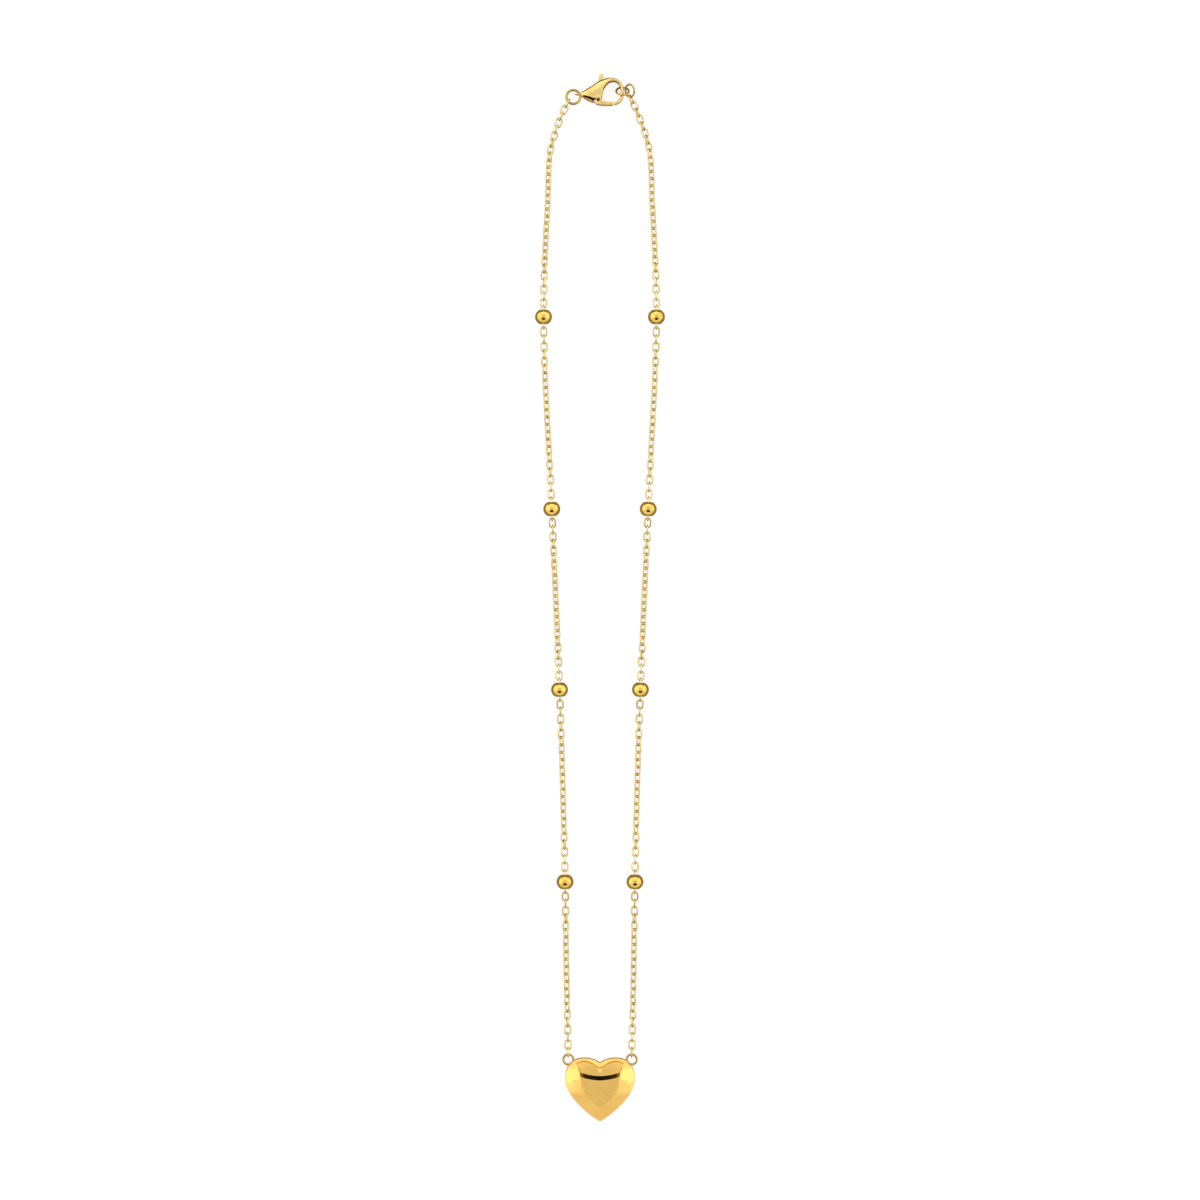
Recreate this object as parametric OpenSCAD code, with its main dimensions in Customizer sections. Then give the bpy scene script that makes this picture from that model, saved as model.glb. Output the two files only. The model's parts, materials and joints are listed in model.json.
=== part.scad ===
/* [Necklace loop] */
// Height of the laid-out loop, clasp end to heart tip
drop_h = 224.6; // [180:0.1:280]
// Widest distance between the two chains
loop_w = 24.1; // [19:0.1:30]
// Distance along the chain from bead to bead
bead_spacing = 41.2; // [33:0.1:46]
// How much shorter the middle run lies, with its links slack
middle_slack = 2.45; // [0:0.05:2.6]
// Distance along the chain from the lowest bead to the heart
last_run = 37.4; // [30:0.1:45]
// Gap under the chain where it lies lowest on the table
chain_lie_gap = 0; // [0:0.05:0.5]

/* [Chain link] */
// Outer length of one link
link_len = 2.34; // [2.15:0.01:2.7]
// Outer width of one link
link_w = 1.6; // [1.5:0.01:1.75]
// Wire thickness of one link
link_wire = 0.35; // [0.3:0.01:0.4]
// Least play between two joined links
link_play = 0.04; // [0.02:0.01:0.08]

/* [Bead] */
// Bead diameter across the chain
bead_d = 3.65; // [3:0.05:4.4]
// Bead length along the chain
bead_len = 3.35; // [2.8:0.05:3.6]
// Bead shell thickness
bead_wall = 0.3; // [0.25:0.01:0.4]
// Gap round the chain in the bead's two holes
bead_hole_gap = 0.1; // [0.08:0.01:0.15]

/* [Heart] */
// Heart width
heart_w = 15; // [13.5:0.1:18]
// Heart height, lobe tops to tip
heart_h = 13.3; // [11.5:0.1:16]
// Heart thickness, back to table facet
heart_t = 3.3; // [3:0.1:4]
// Height of the upright rim round the heart
heart_rim_h = 1.5; // [1.45:0.05:1.8]
// Thickness of the heart's back plate
heart_plate_t = 0.6; // [0.5:0.05:0.8]
// Shell thickness of the heart's front
heart_wall = 0.45; // [0.35:0.01:0.6]
// Outer diameter of a heart eyelet
eyelet_d = 2.6; // [2.4:0.05:3.1]
// Wire thickness of a heart eyelet
eyelet_wire = 0.45; // [0.36:0.01:0.54]

/* [Clasp] */
// Length of the lobster clasp body, neck to hook
clasp_len = 9.1; // [8.6:0.1:10.9]
// Thickness of the clasp body at its middle
clasp_t = 2.6; // [2.5:0.05:3]
// Thickness of the clasp at the hook
hook_t = 0.95; // [0.8:0.05:1.2]
// Height of the lever slot inside the clasp body
slot_h = 1.3; // [1.2:0.05:1.6]
// Radius of the rivet the lever turns on
rivet_r = 0.35; // [0.3:0.01:0.4]
// Gap between the lever and its rivet
rivet_gap = 0.04; // [0.02:0.01:0.08]
// Outer diameter of the clasp jump ring
clasp_ring_d = 3.5; // [3.4:0.05:4]
// Wire thickness of the clasp jump ring
clasp_ring_wire = 0.55; // [0.45:0.01:0.6]
// Outer diameter of the catch ring in the hook
catch_ring_d = 3.1; // [2.95:0.05:3.3]
// Wire thickness of the catch ring
catch_ring_wire = 0.4; // [0.3:0.01:0.44]
// Outer diameter of the end jump ring
end_ring_d = 3.1; // [2.95:0.05:3.3]
// Wire thickness of the end jump ring
end_ring_wire = 0.42; // [0.36:0.01:0.46]

/* [Hidden] */
$fn = 48;
gold = "gold";
deep_gold = "goldenrod";
steel = "silver";
eps = 0.01;

// The heart's own frame: lobe tops at heart_top_y, tip below.
heart_tip_y = -drop_h / 2;
heart_top_y = heart_tip_y + heart_h;
half_heart = heart_w / 2;
eyelet_x = half_heart * 0.908;
eyelet_y = heart_top_y - 0.1;
eyelet_z = (heart_plate_t + heart_rim_h) / 2 + 0.15;
eyelet_rm = (eyelet_d - eyelet_wire) / 2;

// The clasp's own frame: the lever's rivet is at pivot_x, pivot_y.
cs = clasp_len / 9.1;
pivot_x = -0.4;
pivot_y = drop_h / 2 - 4.95 * cs;
clasp_z = clasp_t / 2;
ring_rm = (clasp_ring_d - clasp_ring_wire) / 2;
end_rm = (end_ring_d - end_ring_wire) / 2;
catch_rm = (catch_ring_d - catch_ring_wire) / 2;
eye_x = pivot_x - 4.15 * cs;
eye_y = pivot_y + 0.55 * cs;
ring_x = eye_x - 0.89 * (ring_rm - 0.155);
ring_y = eye_y - 0.42 * (ring_rm - 0.155);
catch_x = pivot_x + 5.23 * cs;
catch_y = pivot_y + 1.24 * cs;
catch_z = clasp_z;
catch_tilt = 46;
end_tilt = -48;
end_lean = 12;
end_x = catch_x + 0.67 + end_rm * cos(end_tilt);
end_y = catch_y;
end_z = clasp_z + 0.52;
end_foot_y = end_y - end_rm * cos(end_lean);
end_foot_z = end_z - end_rm * sin(end_lean);

// Pitch of the chain and where each side of it starts and ends.
inner_len = link_len - 2 * link_wire;
pitch_max = inner_len - link_play;
left_dir = [-0.78, -0.62];
left_top = [ring_x, ring_y] + (ring_rm - clasp_ring_wire / 2 - 0.005) * left_dir;
right_top = [end_x, end_foot_y + end_ring_wire / 2 + 0.005];
eyelet_top = [eyelet_x, eyelet_y + eyelet_rm - eyelet_wire / 2 - 0.075];

function sx(side) = side == "left" ? -1 : 1;
function top_of(side) = side == "left" ? [-left_top[0], left_top[1]] : right_top;

// The loop's half width as shares of its widest, from the clasp down to the heart.
function knots(side) = [
    top_of(side),
    [loop_w * 0.339, drop_h * 0.4615],
    [loop_w * 0.427, drop_h * 0.434],
    [loop_w * 0.466, drop_h * 0.376],
    [loop_w * 0.5, drop_h * 0.294],
    [loop_w * 0.429, drop_h * 0.085],
    [loop_w * 0.36, -drop_h * 0.087],
    [loop_w * 0.311, -drop_h * 0.271],
    [loop_w * 0.298, -drop_h * 0.365],
    eyelet_top
];

function slope_at(k, i) =
    i == 0 ? (k[1] - k[0]) / norm(k[1] - k[0]) :
    i == len(k) - 1 ? (k[i] - k[i - 1]) / norm(k[i] - k[i - 1]) :
    let (a = norm(k[i] - k[i - 1]), b = norm(k[i + 1] - k[i]))
    ((k[i] - k[i - 1]) / a * b + (k[i + 1] - k[i]) / b * a) / (a + b);

function hermite(p, q, u, v, t) =
    let (h = norm(q - p))
    (2 * t * t * t - 3 * t * t + 1) * p + (t * t * t - 2 * t * t + t) * h * u +
    (3 * t * t - 2 * t * t * t) * q + (t * t * t - t * t) * h * v;

steps = 24;
function track(side) = let (k = knots(side)) concat(
    [for (i = [0 : len(k) - 2]) for (j = [0 : steps - 1])
        hermite(k[i], k[i + 1], slope_at(k, i), slope_at(k, i + 1), j / steps)],
    [k[len(k) - 1]]
);
function running(t) = [for (i = 0, s = 0; i < len(t); i = i + 1,
    s = i < len(t) ? s + norm(t[i] - t[i - 1]) : s) s];
left_track = track("left");
right_track = track("right");
left_s = running(left_track);
right_s = running(right_track);
left_sx = [for (i = [0 : len(left_s) - 1]) [left_s[i], left_track[i][0]]];
left_sy = [for (i = [0 : len(left_s) - 1]) [left_s[i], left_track[i][1]]];
right_sx = [for (i = [0 : len(right_s) - 1]) [right_s[i], right_track[i][0]]];
right_sy = [for (i = [0 : len(right_s) - 1]) [right_s[i], right_track[i][1]]];
function side_len(side) = side == "left" ? left_s[len(left_s) - 1] : right_s[len(right_s) - 1];

// Beads are counted 1 to 4 from the clasp.
function bead_s(side, k) =
    side_len(side) - last_run - (4 - k) * bead_spacing + (k < 3 ? middle_slack : 0);
function n_top(side) = 2 * ceil((bead_s(side, 1) / pitch_max + 0.5) / 2);
function p_top(side) = bead_s(side, 1) / (n_top(side) - 0.5);
n_mid = 2 * ceil(bead_spacing / pitch_max / 2);
n_low = 2 * ceil((last_run / pitch_max - 1.5) / 2) + 1;
p_low = last_run / (n_low + 0.5);
function link_total(side) = n_top(side) + 3 * n_mid + n_low;
function bead_link(side, k) = n_top(side) - 1 + (k - 1) * n_mid;

function mid_s(side, k, r) =
    bead_s(side, k) + (r == 0 ? 0 : (bead_s(side, k + 1) - bead_s(side, k)) * r / n_mid);

function link_s(side, g) =
    let (r = g - n_top(side) + 1)
    r <= 0 ? (g + 0.5) * p_top(side) :
    r <= 3 * n_mid ? mid_s(side, floor(r / n_mid) + 1, r % n_mid) :
    bead_s(side, 4) + (r - 3 * n_mid) * p_low;

// Height of the chain: low on the table, lifted at each bead, ring and eyelet.
chain_lie_h = link_w / 2 + chain_lie_gap;
lift_run = 7;
bead_z = bead_d / 2;
function ease(t) = t >= 1 ? 0 : (1 - t) * (1 - t) * (1 + 2 * t);
function top_z(side) = side == "left" ? clasp_z : end_foot_z;
function lift(side, s) =
    let (b = [for (k = [1 : 4]) (bead_z - chain_lie_h) * ease(abs(s - bead_s(side, k)) / lift_run)])
    b[0] + b[1] + b[2] + b[3] +
    (top_z(side) - chain_lie_h) * ease(abs(s) / lift_run) +
    (eyelet_z - chain_lie_h) * ease(abs(side_len(side) - s) / lift_run);
function spot(side, s) = [
    sx(side) * lookup(s, side == "left" ? left_sx : right_sx),
    lookup(s, side == "left" ? left_sy : right_sy),
    chain_lie_h + lift(side, s)
];

// Links turn from square-on at a bead or ring to a slant between them.
function share(side, g) =
    let (n1 = n_top(side), r = g - n1 + 1)
    r <= 0 ? (g + 0.5) / (n1 - 0.5) :
    r <= 3 * n_mid ? (r % n_mid) / n_mid :
    (r - 3 * n_mid) / (n_low + 0.5);
function slant(u) =
    let (t = max(0, min(1, (min(u, 1 - u) - 0.1) / 0.24)))
    45 * t * t * (3 - 2 * t);
function ring_slant(side, g) = side == "left" ? 0 : 30 * max(0, 1 - g / 8);
function link_roll(side, g) =
    (g % 2 == 1 ? 0 : 90) + sx(side) * (slant(share(side, g)) + ring_slant(side, g));

function unit(v) = v / norm(v);
function chain_frame(side, s, roll) =
    let (
        p = spot(side, s),
        l = side_len(side),
        t = unit(spot(side, min(s + 0.5, l)) - spot(side, max(s - 0.5, 0))),
        n = unit([-t[1], t[0], 0]),
        b = cross(t, n),
        y = n * cos(roll) + b * sin(roll),
        z = b * cos(roll) - n * sin(roll)
    )
    [
        [t[0], y[0], z[0], p[0]],
        [t[1], y[1], z[1], p[1]],
        [t[2], y[2], z[2], p[2]],
        [0, 0, 0, 1]
    ];

module wire_ring(mean_r, wire) {
    rotate_extrude()
        translate([mean_r, 0])
            circle(d = wire);
}

// One soldered oval link, long way along X and flat in XY.
module chain_link() {
    bend = (link_w - link_wire) / 2;
    run = link_len - link_w;
    for (s = [-1, 1]) {
        translate([s * run / 2, 0, 0])
            rotate([0, 0, s > 0 ? -90 : 90])
                rotate_extrude(angle = 180)
                    translate([bend, 0])
                        circle(d = link_wire);
        translate([-run / 2, s * bend, 0])
            rotate([0, 90, 0])
                cylinder(h = run, d = link_wire);
    }
}

module chain_part(side, first, last) {
    for (g = [first : last])
        multmatrix(chain_frame(side, link_s(side, g), link_roll(side, g)))
            chain_link();
}

// The cuts between moving lengths of chain lie two links below each bead.
function cut(side, k) = k == 0 ? 0 : k == 5 ? link_total(side) - 1 : bead_link(side, k) + 3;
function third(side, i) = round(cut(side, 1) * i / 3);
function half(side, k) = round((cut(side, k - 1) + cut(side, k)) / 2);

module chain_third(side, i) {
    chain_part(side, third(side, i), third(side, i + 1) - 1);
}

module chain_upper(side, k) {
    chain_part(side, cut(side, k - 1), half(side, k) - 1);
}

module chain_lower(side, k) {
    chain_part(side, half(side, k), cut(side, k) - 1);
}

module chain_end(side) {
    chain_part(side, link_total(side) - 1, link_total(side) - 1);
}

// A bead is a hollow shell of revolution about the chain, open at both ends.
module bead(side, k) {
    r = bead_len / 2;
    out = (bead_d - bead_len) / 2;
    hole = link_w / 2 + bead_hole_gap;
    color(gold)
        multmatrix(chain_frame(side, bead_s(side, k), 0))
            rotate([0, 90, 0])
                rotate_extrude()
                    difference() {
                        translate([out, 0])
                            circle(r = r);
                        translate([out, 0])
                            circle(r = r - bead_wall);
                        translate([-r, -r - 1])
                            square([r + hole, 2 * r + 2]);
                    }
}

function curve(a, b, c, d, t) =
    pow(1 - t, 3) * a + 3 * pow(1 - t, 2) * t * b + 3 * (1 - t) * t * t * c + pow(t, 3) * d;
function curve_run(a, b, c, d, n) = [for (i = [0 : n - 1]) curve(a, b, c, d, i / n)];

// Half the heart's outline, notch to tip, and the same shape mirrored for the other half.
heart_n = 16;
function heart_pt(x, y) = [half_heart * x, heart_h * y];
heart_half = concat(
    curve_run(heart_pt(0, -0.075), heart_pt(0.24, 0.041), heart_pt(1, 0.083), heart_pt(1, -0.323), heart_n),
    curve_run(heart_pt(1, -0.323), heart_pt(1, -0.556), heart_pt(0.455, -0.85), heart_pt(0, -1), heart_n)
);
function whole(h) = concat(
    h,
    [heart_pt(0, -1)],
    [for (i = [len(h) - 1 : -1 : 1]) [-h[i][0], h[i][1]]]
);
heart_line = whole(heart_half);

// The shield-shaped table facet: corners under the shoulders, point above the tip.
table_n = round(heart_n * 0.8);
function table_pt(x, y) = [half_heart * x, heart_h * y];
table_half = concat(
    curve_run(table_pt(0, -0.31), table_pt(0.18, -0.308), table_pt(0.4, -0.285), table_pt(0.54, -0.255), table_n),
    curve_run(table_pt(0.54, -0.255), table_pt(0.6, -0.45), table_pt(0.42, -0.66), table_pt(0, -0.8), 2 * heart_n - table_n)
);
table_line = concat(
    table_half,
    [table_pt(0, -0.8)],
    [for (i = [len(table_half) - 1 : -1 : 1]) [-table_half[i][0], table_half[i][1]]]
);

heart_mid = [0, -heart_h * 0.45];
function toward(p, q, d) = p + unit(q - p) * d;
function inset(line, d) = [for (p = line) toward(p, heart_mid, d)];
function lay(line, z) = [for (p = line) [p[0], heart_top_y + p[1], z]];
function blend(a, b, t) = [for (i = [0 : len(a) - 1]) a[i] * (1 - t) + b[i] * t];

// A closed body through rings of equal count, each ring a step higher.
module loft(rings) {
    n = len(rings[0]);
    m = len(rings);
    polyhedron(
        points = [for (r = rings) for (p = r) p],
        faces = concat(
            [[for (i = [n - 1 : -1 : 0]) i]],
            [for (j = [0 : m - 2]) for (i = [0 : n - 1])
                [j * n + (i + 1) % n, j * n + n + i, j * n + i]],
            [for (j = [0 : m - 2]) for (i = [0 : n - 1])
                [j * n + n + (i + 1) % n, j * n + n + i, j * n + (i + 1) % n]],
            [[for (i = [0 : n - 1]) (m - 1) * n + i]]
        )
    );
}

puff = 0.25;
module heart_form(inward, floor_z, drop) {
    outer = inset(heart_line, inward);
    mid = blend(heart_line, table_line, 0.5);
    rise = heart_t - heart_rim_h;
    loft([
        lay(outer, floor_z),
        lay(outer, heart_rim_h - drop),
        lay(inset(mid, inward), heart_rim_h + rise * 0.5 + puff - drop),
        lay(inset(table_line, inward), heart_t - drop)
    ]);
}

module heart_front_shell() {
    color(gold)
        difference() {
            heart_form(0, heart_plate_t, 0);
            heart_form(heart_wall, heart_plate_t - 1, heart_wall);
        }
}

module heart_back_plate() {
    color(deep_gold) {
        translate([0, heart_top_y, 0])
            linear_extrude(height = heart_plate_t)
                polygon(heart_line);
        translate([0, heart_top_y, heart_plate_t])
            linear_extrude(height = 0.25)
                polygon(inset(heart_line, heart_wall + 0.25));
    }
}

module heart_eyelet(s) {
    color(gold)
        difference() {
            translate([s * eyelet_x, eyelet_y, eyelet_z])
                wire_ring(eyelet_rm, eyelet_wire);
            translate([0, heart_top_y, -1])
                linear_extrude(height = heart_t + 1)
                    polygon(heart_line);
        }
}

function clasp_pt(x, y) = [pivot_x + cs * (x + 0.4), pivot_y + cs * (y - 107.35)];
clasp_n = 8;
clasp_line = concat(
    curve_run(clasp_pt(-3.95, 108.4), clasp_pt(-2.4, 109.2), clasp_pt(-1, 111.45), clasp_pt(2.4, 111.45), clasp_n),
    curve_run(clasp_pt(2.4, 111.45), clasp_pt(4.6, 111.45), clasp_pt(5.15, 110.6), clasp_pt(5.15, 108.6), clasp_n),
    curve_run(clasp_pt(5.15, 108.6), clasp_pt(5.15, 106.6), clasp_pt(4.6, 105.5), clasp_pt(2.95, 105.55), clasp_n),
    [clasp_pt(2.95, 105.55)],
    curve_run(clasp_pt(3.15, 106.3), clasp_pt(4.1, 106.3), clasp_pt(4.45, 107), clasp_pt(4.45, 108.6), clasp_n),
    curve_run(clasp_pt(4.45, 108.6), clasp_pt(4.45, 110.2), clasp_pt(3.6, 110.55), clasp_pt(2.6, 110.55), clasp_n),
    curve_run(clasp_pt(2.6, 110.55), clasp_pt(1.2, 110.55), clasp_pt(0.35, 109.2), clasp_pt(0.3, 107), clasp_n),
    curve_run(clasp_pt(0.3, 105.7), clasp_pt(-1.6, 105.8), clasp_pt(-2.9, 106.2), clasp_pt(-3.95, 107.5), clasp_n)
);

// The clasp seen from its edge: thin neck, full middle, slimmer hook.
function edge_pt(x, h) = [pivot_x + cs * (x + 0.4), h];
clasp_edge = concat(
    curve_run(edge_pt(-4, 0.62), edge_pt(-3, clasp_t / 2), edge_pt(-1.4, clasp_t / 2), edge_pt(0, clasp_t / 2), clasp_n),
    curve_run(edge_pt(0, clasp_t / 2), edge_pt(2.4, clasp_t / 2), edge_pt(3.6, hook_t / 2 + 0.05), edge_pt(5.3, hook_t / 2), clasp_n),
    [edge_pt(5.3, hook_t / 2)],
    [edge_pt(5.3, -hook_t / 2)]
);
clasp_edge_low = [for (i = [2 * clasp_n - 1 : -1 : 0]) [clasp_edge[i][0], -clasp_edge[i][1]]];

module clasp_blank() {
    intersection() {
        linear_extrude(height = clasp_t + 1)
            polygon(clasp_line);
        translate([0, pivot_y - 20, clasp_z])
            rotate([-90, 0, 0])
                linear_extrude(height = 40)
                    polygon(concat(clasp_edge, clasp_edge_low));
    }
}

lever_turn = 25;
module clasp_body() {
    slot_z = clasp_z - slot_h / 2;
    color(gold) {
        difference() {
            clasp_blank();
            translate([0, 0, slot_z])
                linear_extrude(height = slot_h)
                    polygon([clasp_pt(-1.05, 104.8), clasp_pt(0.5, 104.8), clasp_pt(0.5, 107.2),
                        clasp_pt(1.35, 112.9), clasp_pt(-2.6, 112.9), clasp_pt(-1.45, 107.2)]);
            translate([pivot_x, pivot_y, slot_z])
                cylinder(h = slot_h, r = 1.05 * cs);
            translate([0, 0, clasp_z])
                linear_extrude(height = clasp_t)
                    polygon([clasp_pt(-3.1, 107.1), clasp_pt(-1.1, 106.45),
                        clasp_pt(-1.1, 106.8), clasp_pt(-3.1, 107.45)]);
            translate([pivot_x, pivot_y, -1])
                cylinder(h = clasp_t + 2, r = rivet_r);
            translate([eye_x, eye_y, clasp_z])
                rotate([90, 0, 0])
                    cylinder(h = 3, r = 0.55, center = true);
        }
        difference() {
            translate([eye_x, eye_y, clasp_z])
                rotate([90, 0, 0])
                    wire_ring(0.69, 0.28);
            clasp_blank();
        }
    }
}

module clasp_trigger() {
    low = clasp_z - slot_h / 2 + 0.06;
    color(gold)
        difference() {
            union() {
                translate([pivot_x, pivot_y, low])
                    cylinder(h = slot_h * 0.46, r = 0.85 * cs);
                translate([0, 0, low])
                    linear_extrude(height = slot_h - 0.12)
                        polygon([clasp_pt(-0.75, 106.6), clasp_pt(-0.55, 105.75), clasp_pt(0.3, 105.5),
                            clasp_pt(2.75, 105.5), clasp_pt(2.98, 106.25), clasp_pt(0.55, 106.4)]);
                translate([0, 0, low])
                    linear_extrude(height = slot_h - 0.12)
                        polygon([clasp_pt(-0.55, 108.1), clasp_pt(0.1, 108.1), clasp_pt(0.85, 112),
                            clasp_pt(0.62, 112.3), clasp_pt(-0.05, 112.3), clasp_pt(-0.25, 112)]);
                translate([0, 0, low])
                    linear_extrude(height = slot_h * 0.46)
                        polygon([clasp_pt(-0.8, 107.3), clasp_pt(0.1, 107.3), clasp_pt(0.1, 108.2),
                            clasp_pt(-0.55, 108.2)]);
            }
            translate([pivot_x, pivot_y, 0])
                cylinder(h = clasp_t, r = rivet_r + rivet_gap);
            translate([pivot_x, pivot_y, low + slot_h * 0.46])
                cylinder(h = slot_h, r = 0.8 * cs);
        }
}

// A two-turn torsion spring round the rivet, its leg against the slot's end.
module clasp_spring() {
    wire = 0.2;
    step = wire * 1.15;
    coil_r = rivet_r + 0.18;
    base = clasp_z + slot_h / 2 - 0.08 - step - wire / 2;
    color(steel) {
        for (i = [0, 1])
            translate([pivot_x, pivot_y, base + i * step])
                wire_ring(coil_r, wire);
        translate([pivot_x - coil_r, pivot_y, base])
            cylinder(h = step, d = wire * 0.9);
        translate([pivot_x - coil_r, pivot_y - 0.9, base])
            rotate([-90, 0, 0])
                cylinder(h = 0.9, d = wire * 0.9);
    }
}

module clasp_rivet() {
    color(deep_gold)
        translate([pivot_x, pivot_y, 0])
            cylinder(h = clasp_t, r = rivet_r);
}

module clasp_jump_ring() {
    color(gold)
        translate([ring_x, ring_y, clasp_z])
            wire_ring(ring_rm, clasp_ring_wire);
}

module catch_ring() {
    color(gold)
        translate([catch_x, catch_y, catch_z])
            rotate([catch_tilt - 90, 0, 0])
                wire_ring(catch_rm, catch_ring_wire);
}

module end_jump_ring() {
    color(gold)
        translate([end_x, end_y, end_z])
            rotate([end_lean, end_tilt, 0])
                wire_ring(end_rm, end_ring_wire);
}

module left_heart_eyelet() {
    heart_eyelet(-1);
}

module right_heart_eyelet() {
    heart_eyelet(1);
}

module left_bead_1() {
    bead("left", 1);
}

module left_bead_2() {
    bead("left", 2);
}

module left_bead_3() {
    bead("left", 3);
}

module left_bead_4() {
    bead("left", 4);
}

module right_bead_1() {
    bead("right", 1);
}

module right_bead_2() {
    bead("right", 2);
}

module right_bead_3() {
    bead("right", 3);
}

module right_bead_4() {
    bead("right", 4);
}

module left_chain_1a() {
    color(deep_gold)
        chain_third("left", 0);
}

module left_chain_1b() {
    color(deep_gold)
        chain_third("left", 1);
}

module left_chain_1c() {
    color(deep_gold)
        chain_third("left", 2);
}

module left_chain_2a() {
    color(deep_gold)
        chain_upper("left", 2);
}

module left_chain_2b() {
    color(deep_gold)
        chain_lower("left", 2);
}

module left_chain_3a() {
    color(deep_gold)
        chain_upper("left", 3);
}

module left_chain_3b() {
    color(deep_gold)
        chain_lower("left", 3);
}

module left_chain_4a() {
    color(deep_gold)
        chain_upper("left", 4);
}

module left_chain_4b() {
    color(deep_gold)
        chain_lower("left", 4);
}

module left_chain_5a() {
    color(deep_gold)
        chain_upper("left", 5);
}

module left_chain_5b() {
    color(deep_gold)
        chain_lower("left", 5);
}

module left_end_link() {
    color(deep_gold)
        chain_end("left");
}

module right_chain_1a() {
    color(deep_gold)
        chain_third("right", 0);
}

module right_chain_1b() {
    color(deep_gold)
        chain_third("right", 1);
}

module right_chain_1c() {
    color(deep_gold)
        chain_third("right", 2);
}

module right_chain_2a() {
    color(deep_gold)
        chain_upper("right", 2);
}

module right_chain_2b() {
    color(deep_gold)
        chain_lower("right", 2);
}

module right_chain_3a() {
    color(deep_gold)
        chain_upper("right", 3);
}

module right_chain_3b() {
    color(deep_gold)
        chain_lower("right", 3);
}

module right_chain_4a() {
    color(deep_gold)
        chain_upper("right", 4);
}

module right_chain_4b() {
    color(deep_gold)
        chain_lower("right", 4);
}

module right_chain_5a() {
    color(deep_gold)
        chain_upper("right", 5);
}

module right_chain_5b() {
    color(deep_gold)
        chain_lower("right", 5);
}

module right_end_link() {
    color(deep_gold)
        chain_end("right");
}

heart_front_shell();
heart_back_plate();
left_heart_eyelet();
right_heart_eyelet();
left_bead_1();
left_bead_2();
left_bead_3();
left_bead_4();
right_bead_1();
right_bead_2();
right_bead_3();
right_bead_4();
left_chain_1a();
left_chain_1b();
left_chain_1c();
left_chain_2a();
left_chain_2b();
left_chain_3a();
left_chain_3b();
left_chain_4a();
left_chain_4b();
left_chain_5a();
left_chain_5b();
left_end_link();
right_chain_1a();
right_chain_1b();
right_chain_1c();
right_chain_2a();
right_chain_2b();
right_chain_3a();
right_chain_3b();
right_chain_4a();
right_chain_4b();
right_chain_5a();
right_chain_5b();
right_end_link();
clasp_body();
clasp_trigger();
clasp_spring();
clasp_rivet();
clasp_jump_ring();
catch_ring();
end_jump_ring();
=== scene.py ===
import json
import math

import bmesh
import bpy
import numpy as np
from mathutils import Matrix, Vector


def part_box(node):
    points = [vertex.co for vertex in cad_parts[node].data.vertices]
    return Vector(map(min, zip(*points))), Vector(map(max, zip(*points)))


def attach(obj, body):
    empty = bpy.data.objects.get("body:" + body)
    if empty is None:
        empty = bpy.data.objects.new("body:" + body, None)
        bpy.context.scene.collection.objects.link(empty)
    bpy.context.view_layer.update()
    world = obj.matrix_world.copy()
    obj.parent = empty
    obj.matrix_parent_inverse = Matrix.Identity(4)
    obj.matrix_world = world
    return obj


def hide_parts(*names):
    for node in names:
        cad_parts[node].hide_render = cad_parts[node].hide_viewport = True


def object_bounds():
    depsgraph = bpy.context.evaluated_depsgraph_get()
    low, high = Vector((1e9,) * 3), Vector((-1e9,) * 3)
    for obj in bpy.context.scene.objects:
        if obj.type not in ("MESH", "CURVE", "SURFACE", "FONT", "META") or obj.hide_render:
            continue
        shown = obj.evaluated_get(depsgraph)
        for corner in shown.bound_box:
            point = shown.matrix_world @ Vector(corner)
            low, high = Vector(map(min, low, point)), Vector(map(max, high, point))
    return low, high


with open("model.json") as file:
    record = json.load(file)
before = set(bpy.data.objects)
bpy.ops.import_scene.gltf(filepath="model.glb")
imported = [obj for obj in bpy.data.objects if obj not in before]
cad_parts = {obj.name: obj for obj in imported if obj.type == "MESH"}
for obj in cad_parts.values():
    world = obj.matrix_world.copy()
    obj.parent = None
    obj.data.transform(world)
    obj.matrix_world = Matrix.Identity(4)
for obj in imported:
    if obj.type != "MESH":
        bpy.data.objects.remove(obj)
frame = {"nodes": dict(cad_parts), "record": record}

cad_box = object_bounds()

# ---------------------------------------------------------------- the table
# The necklace lies flat on a white sweep, and the lens looks straight down on it. The room
# is a white tent, with one soft box at its far side and one at each flank.
scene = bpy.context.scene
scene.view_settings.view_transform = "Standard"
lens = bpy.data.cameras.new("lens")
lens.lens = 85
lens.sensor_width = 36
lens.clip_start = 0.01
camera = bpy.data.objects.new("camera", lens)
camera.location = (0.0, -0.00054, 0.609)
scene.collection.objects.link(camera)
scene.camera = camera

sweep_mesh = bpy.data.meshes.new("white_sweep")
sweep_half = 3.0
sweep_corners = [(x * sweep_half, y * sweep_half, 0) for x, y in ((-1, -1), (1, -1), (1, 1), (-1, 1))]
sweep_mesh.from_pydata(sweep_corners, [], [(0, 1, 2, 3)])
white_sweep = bpy.data.objects.new("white_sweep", sweep_mesh)
scene.collection.objects.link(white_sweep)
white_sweep.location.z = cad_box[0][2] - 0.00005
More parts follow.
